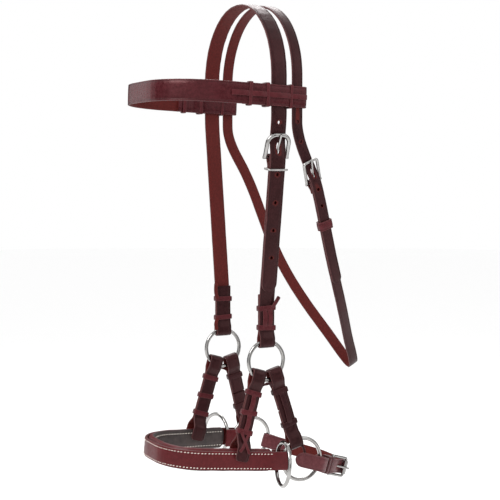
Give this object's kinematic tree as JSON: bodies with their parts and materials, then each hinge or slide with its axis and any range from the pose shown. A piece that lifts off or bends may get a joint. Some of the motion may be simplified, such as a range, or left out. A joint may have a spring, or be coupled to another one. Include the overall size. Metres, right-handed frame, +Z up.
{
  "type": "bitless hackamore",
  "caption": "Leather bitless bridle with browband, throatlatch, padded noseband on laced hangers, side rings for reins and a buckled jaw strap.",
  "frame": {"origin": "the underside of the crown strap at the poll, in the middle of the head", "axes": "+Z up, -X towards the horse's forehead and nose, -Y towards its near (left) side"},
  "size_m": [0.2928, 0.2328, 0.5716],
  "materials": {
    "bridle_leather": "satin oxblood bridle leather",
    "lace_leather": "soft waxed lace leather",
    "lining_leather": "matt soft lining leather over a padded core",
    "steel": "polished stainless steel"
  },
  "bodies": {
    "root": {"crown_strap": "bridle_leather", "near_cheekpiece": "bridle_leather", "cheek_buckle_frame": "steel", "near_cheek_lace": "lace_leather", "far_cheek_lace": "lace_leather", "throat_strap": "bridle_leather", "throat_buckle_frame": "steel"},
    "browband": {"browband": "bridle_leather", "near_browband_lace": "lace_leather", "far_browband_lace": "lace_leather"},
    "cheek_tongue": {"cheek_buckle_tongue": "steel"},
    "cheek_loop": {"cheek_metal_loop": "steel"},
    "throat_tongue": {"throat_buckle_tongue": "steel"},
    "throat_keeper": {"throat_keeper": "bridle_leather"},
    "near_cheek_ring": {"near_cheek_ring": "steel"},
    "far_cheek_ring": {"far_cheek_ring": "steel"},
    "lower": {"noseband_leather": "bridle_leather", "noseband_padding": "lining_leather", "near_front_hanger": "bridle_leather", "near_front_hanger_lace": "lace_leather", "near_rear_hanger": "bridle_leather", "near_rear_hanger_lace": "lace_leather", "far_front_hanger": "bridle_leather", "far_front_hanger_lace": "lace_leather", "far_rear_hanger": "bridle_leather", "far_rear_hanger_lace": "lace_leather"},
    "near_jaw_ring": {"near_jaw_ring": "steel"},
    "far_jaw_ring": {"far_jaw_ring": "steel"},
    "near_rein_ring": {"near_rein_ring": "steel"},
    "far_rein_ring": {"far_rein_ring": "steel"},
    "chin": {"chin_chape": "bridle_leather", "chin_billet": "bridle_leather", "chin_buckle_frame": "steel", "chin_keeper_front": "bridle_leather", "chin_keeper_rear": "bridle_leather"},
    "chin_tongue": {"chin_buckle_tongue": "steel"},
    "chin_roller": {"chin_buckle_roller": "steel"}
  },
  "joints": [
    {"name": "noseband_swing", "type": "hinge", "parent": "root", "child": "lower", "pos_m": [-0.002, 0, -0.414], "axis": [0, 1, 0], "range_deg": [-14, 14]},
    {"name": "near_cheek_ring_turn", "type": "hinge", "parent": "root", "child": "near_cheek_ring", "pos_m": [-0.002, -0.058, -0.414], "axis": [0, 1, 0], "continuous": true},
    {"name": "far_cheek_ring_turn", "type": "hinge", "parent": "root", "child": "far_cheek_ring", "pos_m": [-0.002, 0.058, -0.414], "axis": [0, 1, 0], "continuous": true},
    {"name": "near_jaw_ring_turn", "type": "hinge", "parent": "lower", "child": "near_jaw_ring", "pos_m": [0.0416, -0.0655, -0.533], "axis": [0, 1, 0], "continuous": true},
    {"name": "far_jaw_ring_turn", "type": "hinge", "parent": "lower", "child": "far_jaw_ring", "pos_m": [0.0416, 0.0655, -0.533], "axis": [0, 1, 0], "continuous": true},
    {"name": "near_rein_ring_swing", "type": "hinge", "parent": "lower", "child": "near_rein_ring", "pos_m": [0.00797, -0.0655, -0.53018], "axis": [0.0837, 0, 0.9965], "range_deg": [-29, 61]},
    {"name": "far_rein_ring_swing", "type": "hinge", "parent": "lower", "child": "far_rein_ring", "pos_m": [0.00797, 0.0655, -0.53018], "axis": [-0.0837, 0, -0.9965], "range_deg": [-29, 61]},
    {"name": "jaw_strap_swing", "type": "hinge", "parent": "lower", "child": "chin", "pos_m": [0.0416, 0, -0.533], "axis": [0, 1, 0], "range_deg": [-12, 16]},
    {"name": "cheek_tongue_lift", "type": "hinge", "parent": "root", "child": "cheek_tongue", "pos_m": [-0.002, -0.08059, -0.17831], "axis": [1, 0, 0], "range_deg": [0, 8]},
    {"name": "throat_tongue_lift", "type": "hinge", "parent": "root", "child": "throat_tongue", "pos_m": [0.0475, -0.08094, -0.2058], "axis": [0.924, 0, 0.3823], "range_deg": [0, 8]},
    {"name": "chin_tongue_lift", "type": "hinge", "parent": "chin", "child": "chin_tongue", "pos_m": [0.09248, -0.0472, -0.54953], "axis": [-0.309, 0, -0.9511], "range_deg": [0, 5]},
    {"name": "chin_roller_spin", "type": "hinge", "parent": "chin", "child": "chin_roller", "pos_m": [0.11684, -0.03957, -0.55745], "axis": [0.309, 0, 0.9511], "continuous": true},
    {"name": "cheek_loop_slide", "type": "slide", "parent": "root", "child": "cheek_loop", "axis": [0, -0.146, 0.9893], "range_m": [-0.008, 0.002]},
    {"name": "throat_keeper_slide", "type": "slide", "parent": "root", "child": "throat_keeper", "axis": [-0.3023, -0.1505, 0.9413], "range_m": [-0.008, 0.008]},
    {"name": "browband_slide", "type": "slide", "parent": "root", "child": "browband", "axis": [0, 0, 1], "range_m": [-0.008, 0.006]}
  ]
}
